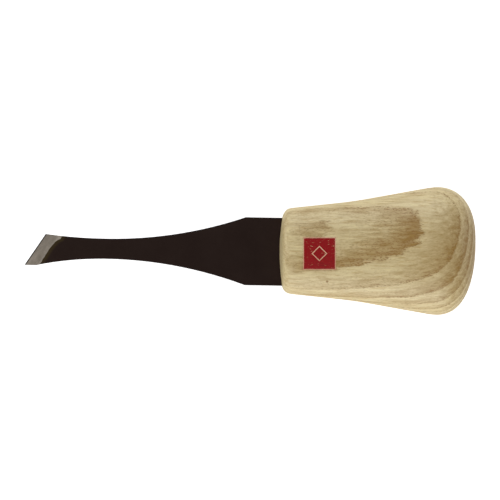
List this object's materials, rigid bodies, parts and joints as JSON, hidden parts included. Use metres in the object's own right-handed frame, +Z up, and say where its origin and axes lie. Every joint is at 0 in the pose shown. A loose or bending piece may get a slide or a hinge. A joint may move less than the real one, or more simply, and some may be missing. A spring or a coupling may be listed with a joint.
{
  "type": "skiving knife",
  "caption": "Hand tool for thinning leather: a narrow-necked steel blade with a skewed single-bevel edge, glued into a flared palm handle of ash with a flat underside.",
  "frame": {"origin": "on the resting plane, under the middle of the tool's bounding box", "axes": "+X along the tool from the edge to the handle, +Z up, square to the blade's broad face with the bevel uppermost, +Y towards the heel of the edge"},
  "size_m": [0.147, 0.0418, 0.0252],
  "materials": {
    "blade_steel": "dark heat-treated strip, matt, with a bright ground bevel",
    "ash": "sanded, with a thin satin lacquer",
    "epoxy": "cured amber",
    "red_ink": "printed, worn through in specks"
  },
  "bodies": {
    "root": {"blade": "blade_steel", "handle": "ash", "tang_epoxy": "epoxy", "ink_patch": "red_ink"}
  },
  "joints": []
}
